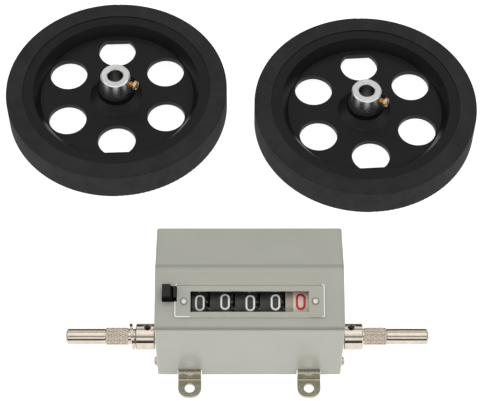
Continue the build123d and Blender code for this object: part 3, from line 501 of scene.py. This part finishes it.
def soften(node_name, body, slot, width, painted_light, cuts):
    """Stands in for a piece with the same shape, its sharp edges broken by a small radius.

    painted_light is a second material that paints light or shade on some faces, and the test for
    those faces, which the cuts across X divide.
    """
    source = nodes[node_name]
    made = source.copy()
    made.name = node_name + "_look"
    made.data = source.data.copy()
    bpy.context.scene.collection.objects.link(made)
    work = bmesh.new()
    work.from_mesh(made.data)
    bmesh.ops.remove_doubles(work, verts=work.verts, dist=CAD_SAME_POINT)
    flat = radians(FLAT_ANGLE)
    bmesh.ops.dissolve_limit(work, angle_limit=flat, verts=work.verts, edges=work.edges)
    for x in cuts:
        bmesh.ops.bisect_plane(
            work,
            geom=[*work.verts, *work.edges, *work.faces],
            dist=SAME_POINT,
            plane_co=(x, 0, 0),
            plane_no=(1, 0, 0),
        )
    sharp = [
        edge
        for edge in work.edges
        if len(edge.link_faces) == 2 and edge.calc_face_angle(0) > radians(SHARP_ANGLE)
    ]
    bmesh.ops.bevel(
        work,
        geom=sharp,
        offset=width * MM,
        offset_type="OFFSET",
        segments=2,
        profile=0.5,
        affect="EDGES",
        clamp_overlap=True,
    )
    work.to_mesh(made.data)
    work.free()
    smooth_by_angle(made, SHADED_SHARP_ANGLE)
    if painted_light:
        material, is_painted_light = painted_light
        made.data.materials.append(material)
        for face in made.data.polygons:
            face.material_index = int(is_painted_light(face))
    weighted = made.modifiers.new("weighted", "WEIGHTED_NORMAL")
    weighted.keep_sharp = True
    bpy.context.view_layer.update()
    apply_modifiers(made)
    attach(made, body)
    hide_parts(node_name)


# ---------------------------------------------------------------- figures on the number drums
FIGURE_HEIGHT = 7.0
FIGURE_WIDTH = 4.0
STROKE = 0.78
RED_STROKE = 1.0
INK = 0.03
DRUM_RADIUS = 13.0
FIGURE_TO_DRUM_RIGHT = 3.4
PEN_STEP = 0.3
# how far each drum stands turned away from the line, in millimetres round its rim
NUDGES = (-0.05, 0.45, -0.10, 0.25, 0.45)


def figure_strokes(figure):
    """The pen strokes of a figure as (x, y) points about its centre, in millimetres."""
    w = (FIGURE_WIDTH - STROKE) / 2
    h = (FIGURE_HEIGHT - STROKE) / 2
    upper = h - w
    strokes = {
        0: [arc((0, upper), w, 0, 180, 14) + arc((0, -upper), w, 180, 360, 14) + [(w, upper)]],
        1: [[(-w * 0.6, h * 0.62), (0, h), (0, -h)]],
        2: [arc((0, upper), w, 165, -35, 14) + [(-w, -h), (w, -h)]],
        3: [
            arc((0, h * 0.5), h * 0.5, 150, -90, 12)
            + arc((0, -h * 0.5), h * 0.5, 90, -150, 12)
        ],
        4: [[(w * 0.5, -h), (w * 0.5, h), (-w, -h * 0.4), (w, -h * 0.4)]],
        5: [[(w * 0.85, h), (-w * 0.8, h), (-w * 0.9, 0.2)] + arc((0, -upper), w, 120, -150, 14)],
        6: [
            arc((0, -upper), w, 0, 360, 22),
            [(-w, -upper), (-w, 0), (-w * 0.4, h * 0.75), (w * 0.4, h)],
        ],
        7: [[(-w, h), (w, h), (-w * 0.3, -h)]],
        8: [
            arc((0, h * 0.5), h * 0.5, 0, 360, 20),
            arc((0, -h * 0.5), h * 0.5, 0, 360, 20),
        ],
        9: [
            arc((0, upper), w, 0, 360, 22),
            [(w, upper), (w, 0), (w * 0.4, -h * 0.75), (-w * 0.4, -h)],
        ],
    }
    return strokes[figure]


def dense(points):
    """The same stroke with more points, about a pen step apart."""
    fine = [Vector(points[0])]
    for point in points[1:]:
        start = fine[-1]
        run = Vector(point) - start
        pieces = max(1, round(run.length / PEN_STEP))
        fine += [start + run * (piece + 1) / pieces for piece in range(pieces)]
    return fine


def ribbon(points, width):
    """The left and right edges of a stroke of the pen along the points."""
    points = dense(points)
    edges = []
    for index, point in enumerate(points):
        before = points[max(index - 1, 0)]
        after = points[min(index + 1, len(points) - 1)]
        along = (after - before).normalized()
        side = Vector((-along.y, along.x)) * width / 2
        edges.append((point + side, point - side))
    return edges


def drum_point(flat, raised, x_middle, turn):
    """Wraps a flat figure point, in millimetres, round the drum."""
    angle = turn - flat.y / DRUM_RADIUS
    reach = (DRUM_RADIUS + raised) * MM
    return Vector(
        (
            x_middle + flat.x * MM,
            DRUMS.y - reach * sin(angle),
            DRUMS.z + reach * cos(angle),
        )
    )


def drum_figures(number):
    """The figures 0 to 9 round a drum, with 0 in the window."""
    x_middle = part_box(f"number_drum_{number}")[1].x - FIGURE_TO_DRUM_RIGHT * MM
    facing = atan2(-OUTWARD.y, OUTWARD.z)
    verts, faces = [], []
    for figure in range(10):
        turn = facing + radians(36 * figure) - NUDGES[number - 1] / DRUM_RADIUS
        for stroke in figure_strokes(figure):
            start = len(verts)
            edges = ribbon(stroke, RED_STROKE if number == 5 else STROKE)
            for left, right in edges:
                for flat in (left, right):
                    verts.append(drum_point(flat, INK, x_middle, turn))
                    verts.append(drum_point(flat, -INK, x_middle, turn))
            last = len(edges) - 1
            for index in range(last):
                a = start + 4 * index
                b = a + 4
                faces += [(a, a + 2, b + 2, b), (a + 1, b + 1, b + 3, a + 3)]
                faces += [(a, b, b + 1, a + 1), (a + 2, a + 3, b + 3, b + 2)]
            end = start + 4 * last
            faces += [(start, start + 1, start + 3, start + 2), (end, end + 2, end + 3, end + 1)]
    ink = RED_INK if number == 5 else WHITE_INK
    made = add_mesh(f"figures_{number}", verts, faces, ink)
    smooth_by_angle(made, 35)
    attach(made, f"drum_{number}")


for number in range(1, 6):
    drum_figures(number)


# ---------------------------------------------------------------- knurled shaft ends
SHAFT_RADIUS = 3.5
KNURL_RADIUS = 3.85
KNURL_LENGTH = 9.8
KNURL_COUNT = 22
KNURL_DEPTH = 0.28
KNURL_TWIST = 2.2
KNURL_CREST = 0.6
KNURL_RUNOUT = 0.4
KNURL_SHOULDER = 0.15
KNURL_ROWS = 84
KNURL_START = {"left": 52.4, "right": 49.7}
SHAFT_STEPS = 264
TIP_CHAMFER = 0.8
INNER_END = 45.0
# a radius small enough to close a turned piece on its axis
AXIS = 0.01


def knurl(radius, height, angle, start, end):
    """Diamond knurling between two heights; the plain shaft keeps its radius."""
    if not start < height < end:
        return radius, height
    twist = height * KNURL_COUNT / (KNURL_RADIUS * KNURL_TWIST)
    first = abs(sin((angle * KNURL_COUNT + twist) / 2))
    second = abs(sin((angle * KNURL_COUNT - twist) / 2))
    edge = min(1.0, (height - start) / KNURL_RUNOUT, (end - height) / KNURL_RUNOUT)
    groove = (1 - min(first, second) ** KNURL_CREST) * KNURL_DEPTH
    return radius - groove * edge - (1 - edge) * KNURL_SHOULDER, height


def shaft_end(side):
    """A turned shaft, knurled next to its collar, chamfered and centre-drilled at its tip."""
    sign = -1 if side == "left" else 1
    low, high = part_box(f"shaft_end_{side}")
    tip = (-low.x if side == "left" else high.x) / MM
    start = KNURL_START[side]
    end = start + KNURL_LENGTH
    profile = [
        (AXIS, INNER_END),
        (SHAFT_RADIUS, INNER_END),
        (SHAFT_RADIUS, INNER_END + 0.1),
        (SHAFT_RADIUS, start - 0.2),
        (SHAFT_RADIUS, start - 0.02),
    ]
    for row in range(KNURL_ROWS + 1):
        profile.append((KNURL_RADIUS, start + KNURL_LENGTH * row / KNURL_ROWS))
    profile += [
        (SHAFT_RADIUS + 0.12, end + 0.05),
        (SHAFT_RADIUS, end + 0.3),
        (SHAFT_RADIUS, end + 0.5),
        (SHAFT_RADIUS, tip - TIP_CHAMFER - 0.45),
        (SHAFT_RADIUS, tip - TIP_CHAMFER - 0.25),
        (SHAFT_RADIUS - 0.10, tip - TIP_CHAMFER + 0.05),
        (SHAFT_RADIUS - TIP_CHAMFER + 0.08, tip - 0.12),
        (SHAFT_RADIUS - TIP_CHAMFER - 0.25, tip),
        (1.4, tip),
        (1.1, tip - 0.5),
        (AXIS, tip - 1.1),
    ]
    place = basis(SPINDLE, (sign, 0, 0)) @ Matrix.Scale(MM, 4)
    verts, faces = lathe(profile, SHAFT_STEPS, place, lambda r, h, a: knurl(r, h, a, start, end))
    made = add_mesh(f"knurled_shaft_{side}", verts, faces, NICKEL)
    smooth_by_angle(made, 50)
    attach(made, "spindle")
    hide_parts(f"shaft_end_{side}")


for side in ("left", "right"):
    shaft_end(side)


# ---------------------------------------------------------------- washers on the left of the spindle
WASHER_TILT = 8.0
WASHER_RADIUS = 6.0
WASHER_HOLE = 4.1
WASHER_THICKNESS = 1.4
WASHER_GROOVE = 0.12
WASHER_EDGE = 0.12
ROUND_STEPS = 96


def washers():
    """Two thin washers pressed together, drawn as one ring with a fine groove round its edge."""
    low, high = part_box("shaft_washer")
    middle = Vector(((low.x + high.x) / 2, SPINDLE.y, SPINDLE.z))
    tilt = radians(WASHER_TILT)
    half = WASHER_THICKNESS / 2
    rim = WASHER_RADIUS - WASHER_EDGE
    profile = [
        (WASHER_HOLE, -half),
        (rim, -half),
        (WASHER_RADIUS, -half + WASHER_EDGE),
        (WASHER_RADIUS, -WASHER_GROOVE),
        (rim - WASHER_GROOVE, -WASHER_GROOVE / 2),
        (rim - WASHER_GROOVE, WASHER_GROOVE / 2),
        (WASHER_RADIUS, WASHER_GROOVE),
        (WASHER_RADIUS, half - WASHER_EDGE),
        (rim, half),
        (WASHER_HOLE, half),
    ]
    place = basis(middle, (cos(tilt), sin(tilt), 0)) @ Matrix.Scale(MM, 4)
    verts, faces = lathe(profile, ROUND_STEPS, place)
    made = add_mesh("shaft_washers", verts, faces, NICKEL)
    smooth_by_angle(made, 40)
    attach(made, "spindle")
    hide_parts("shaft_washer")


washers()


# ---------------------------------------------------------------- screws
CROWN_RINGS = 26
CROWN_ROUNDNESS = 2.6
SHOULDER = 0.35
THREAD_DEPTH = 0.28
RECESS_HALF = 0.34
RECESS_REACH = 0.66
RECESS_DEPTH = 0.55
RECESS_SLOPE = 0.6


def cross_recess(radius, height, angle, shoulder, head_radius, head):
    """Presses a cross into the crown, the part of a head above its shoulder."""
    if height <= shoulder:
        return radius, height
    x, y = abs(radius * cos(angle)), abs(radius * sin(angle))
    reach = head_radius * RECESS_REACH
    if min(x, y) > RECESS_HALF or max(x, y) > reach:
        return radius, height
    slope = 1 - RECESS_SLOPE * max(x, y) / reach
    return radius, height - head * RECESS_DEPTH * slope


def screw_mesh(name, place, tip, neck, radius, head_radius, head, pitch, material):
    """A pan-head screw along the place's Z: threaded from tip to neck, head above it."""
    profile = [(AXIS, tip), (radius - 0.35, tip)]
    turns = max(1, int((neck - tip) / pitch))
    for turn in range(turns):
        base = tip + 0.1 + turn * pitch
        profile += [(radius - THREAD_DEPTH, base), (radius, base + pitch * 0.5)]
    profile += [(radius - THREAD_DEPTH, neck - 0.05), (radius - 0.1, neck)]
    profile += [(head_radius - 0.1, neck), (head_radius, neck + 0.12)]
    shoulder = neck + SHOULDER * head
    profile += [(head_radius, shoulder)]
    for ring in range(1, CROWN_RINGS + 1):
        out = 1 - ring / CROWN_RINGS
        rise = (1 - out**CROWN_ROUNDNESS) ** 0.5
        height = shoulder + (head * (1 - SHOULDER)) * rise
        profile.append((max(AXIS, head_radius * out), height))
    verts, faces = lathe(
        profile,
        ROUND_STEPS,
        place,
        lambda r, h, a: cross_recess(r, h, a, shoulder, head_radius, head),
    )
    made = add_mesh(name, verts, faces, material)
    smooth_by_angle(made, 40)
    return made


# distances from the wheel's axis to the screw's tip and to the underside of its head
CLAMP_TIP = 3.73
CLAMP_NECK = 9.2
CLAMP_RADIUS = 1.5
CLAMP_HEAD_RADIUS = 2.5
CLAMP_HEAD = 2.0
CLAMP_PITCH = 0.5
CLAMP_TURN = 0.4

SIDE_SCREW_LENGTH = 3.0
SIDE_SCREW_RADIUS = 1.3
SIDE_SCREW_PITCH = 0.45
SIDE_SCREW_TURN = 0.7


def clamp_screw(side):
    """The brass screw that clamps a wheel to its shaft."""
    low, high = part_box(f"clamp_screw_{side}")
    direction = Vector(joints[f"clamp_{side}_unscrew"]["axis"])
    origin = Vector((WHEELS[side].x, WHEELS[side].y, (low.z + high.z) / 2))
    turned = Matrix.Rotation(CLAMP_TURN, 4, "Z")
    made = screw_mesh(
        f"clamp_screw_{side}_look",
        basis(origin, direction) @ turned @ Matrix.Scale(MM, 4),
        CLAMP_TIP,
        CLAMP_NECK,
        CLAMP_RADIUS,
        CLAMP_HEAD_RADIUS,
        CLAMP_HEAD,
        CLAMP_PITCH,
        BRASS,
    )
    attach(made, f"clamp_{side}")
    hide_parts(f"clamp_screw_{side}")


def side_screws(side):
    """The front and back screws that hold one side of the cover to the base."""
    sign = -1 if side == "left" else 1
    low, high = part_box("side_screws")
    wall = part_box("cover")[1].x
    head_radius = (high.z - low.z) / 2
    turned = Matrix.Rotation(SIDE_SCREW_TURN, 4, "Z")
    for y, end in ((low.y + head_radius, "front"), (high.y - head_radius, "back")):
        origin = Vector((sign * wall, y, (low.z + high.z) / 2))
        made = screw_mesh(
            f"side_screw_{side}_{end}",
            basis(origin, (sign, 0, 0)) @ turned @ Matrix.Scale(MM, 4),
            -SIDE_SCREW_LENGTH,
            0.0,
            SIDE_SCREW_RADIUS,
            head_radius / MM,
            (high.x - wall) / MM,
            SIDE_SCREW_PITCH,
            NICKEL,
        )
        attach(made, "housing")
        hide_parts("side_screws")


for side in ("left", "right"):
    clamp_screw(side)
for side in ("left", "right"):
    side_screws(side)


# ---------------------------------------------------------------- pieces with broken edges
# painted highlight on the bezel: its bounds along X, where the cuts divide the faces
HIGHLIGHT_FROM = 25.0 * MM
HIGHLIGHT_END = 30.3 * MM
HIGHLIGHT_CUTS = (-HIGHLIGHT_END, -HIGHLIGHT_FROM, HIGHLIGHT_FROM, HIGHLIGHT_END)
KEY_LOWER_SIDE = -0.6
BEZEL_SHEET = 0.35 * MM
BEZEL_FACE = max(
    OUTWARD.dot(nodes["bezel_plate"].matrix_world @ vert.co)
    for vert in nodes["bezel_plate"].data.vertices
)
BEZEL_MIDDLE = UPWARD.dot(sum(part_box("bezel_plate"), Vector())) / 2


def bezel_highlight(face):
    """Painted highlight: near-white on the rim at both ends and along its lower left, and on the cut
    edges inside the window.
    """
    on_rim = OUTWARD.dot(face.center) > BEZEL_FACE - 0.8 * BEZEL_SHEET
    cut_edge = abs(OUTWARD.dot(face.normal)) < 0.5
    inside = abs(face.center.x) < HIGHLIGHT_FROM
    at_end = abs(face.center.x) > HIGHLIGHT_END
    lower_left = face.center.x < -HIGHLIGHT_FROM and UPWARD.dot(face.center) < BEZEL_MIDDLE
    return (on_rim and (at_end or lower_left)) or (cut_edge and inside and not on_rim)


def key_underside(face):
    """The key's lower side, a rougher black that is also darker as painted shade."""
    return UPWARD.dot(face.normal) < KEY_LOWER_SIDE


SOFT = (
    # piece, body, slot, edge radius in millimetres, second material for painted light or shade, cuts
    ("bezel_plate", "housing", "bezel_paint", 0.05, (EDGE_HIGHLIGHT, bezel_highlight), HIGHLIGHT_CUTS),
    ("bezel_rivets", "housing", "rivet_metal", 0.25, None, ()),
    ("reset_key", "reset_key", "key_black", 0.40, (KEY_ROUGH_AND_SHADED, key_underside), ()),
    ("collar_left", "spindle", "nickel", 0.25, None, ()),
    ("collar_right", "spindle", "nickel", 0.25, None, ()),
    ("wheel_disc_left", "wheel_left", "wheel_plastic", 0.2, None, ()),
    ("wheel_disc_right", "wheel_right", "wheel_plastic", 0.2, None, ()),
    ("wheel_tyre_left", "wheel_left", "tyre_rubber", 0.6, None, ()),
    ("wheel_tyre_right", "wheel_right", "tyre_rubber", 0.6, None, ()),
    ("wheel_hub_left", "wheel_left", "hub_aluminium", 0.25, None, ()),
    ("wheel_hub_right", "wheel_right", "hub_aluminium", 0.25, None, ()),
)
for row in SOFT:
    soften(*row)


# ---------------------------------------------------------------- floor and light
FLOOR_GLOW = 0.92
FLOOR_HALF = 3.0
FLOOR_BELOW = 0.1 * MM
TARGET = (0, 0.06, 0.02)
WORLD_STRENGTH = 1.17
# (sine of the height above the horizon, brightness); below the horizon it stays as at 0
TENT = (
    (0.0, 0.03),
    (0.40, 0.04),
    (0.50, 1.0),
    (0.70, 1.0),
    (0.76, 0.34),
    (0.88, 0.34),
    (0.93, 0.95),
    (1.0, 0.95),
)


def floor():
    """A plain pale floor that glows a little, as a lit light table does."""
    shade = Shade("floor", (0.45, 0.45, 0.45), 0.9, 0.0, Specular_IOR_Level=0.1)
    shade.shader.inputs["Emission Color"].default_value = (1, 1, 1, 1)
    shade.shader.inputs["Emission Strength"].default_value = FLOOR_GLOW
    shade.mottle(3, 0.01)
    half = FLOOR_HALF
    corners = [(-half, -half, 0), (half, -half, 0), (half, half, 0), (-half, half, 0)]
    made = add_mesh("floor", corners, [(0, 1, 2, 3)], shade.material, smooth=False)
    made.location.z = -FLOOR_BELOW


def area_light(name, place, width, height, power):
    data = bpy.data.lights.new(name, "AREA")
    data.shape = "RECTANGLE"
    data.size = width
    data.size_y = height
    data.energy = power
    made = bpy.data.objects.new(name, data)
    made.location = place
    aim = Vector(TARGET) - Vector(place)
    made.rotation_euler = aim.to_track_quat("-Z", "Y").to_euler()
    bpy.context.scene.collection.objects.link(made)


def world_light():
    """A white tent, dark low down where it is open, with a grey band that streaks the metal."""
    world = bpy.data.worlds.new("world")
    bpy.context.scene.world = world
    world.use_nodes = True
    tree = world.node_tree
    background = tree.nodes["Background"]
    background.inputs["Strength"].default_value = WORLD_STRENGTH
    direction = tree.nodes.new("ShaderNodeTexCoord").outputs["Generated"]
    split = tree.nodes.new("ShaderNodeSeparateXYZ")
    ramp = tree.nodes.new("ShaderNodeValToRGB")
    tree.links.new(direction, split.inputs["Vector"])
    tree.links.new(split.outputs["Z"], ramp.inputs["Fac"])
    tree.links.new(ramp.outputs["Color"], background.inputs["Color"])
    stops = ramp.color_ramp.elements
    for place, level in TENT[1:-1]:
        stops.new(place)
    for stop, (place, level) in zip(stops, TENT):
        stop.position = place
        stop.color = (level, level, level, 1)


floor()
area_light("front_softbox", (0, -1.1, 0.75), 3.5, 0.8, 1.6)
area_light("left_softbox", (-1.2, 0.1, 0.9), 0.9, 0.9, 2)
area_light("right_softbox", (1.2, 0.1, 0.9), 0.9, 0.9, 2)
area_light("top_softbox", (0, 0.3, 1.6), 1.2, 1.2, 1.5)
world_light()
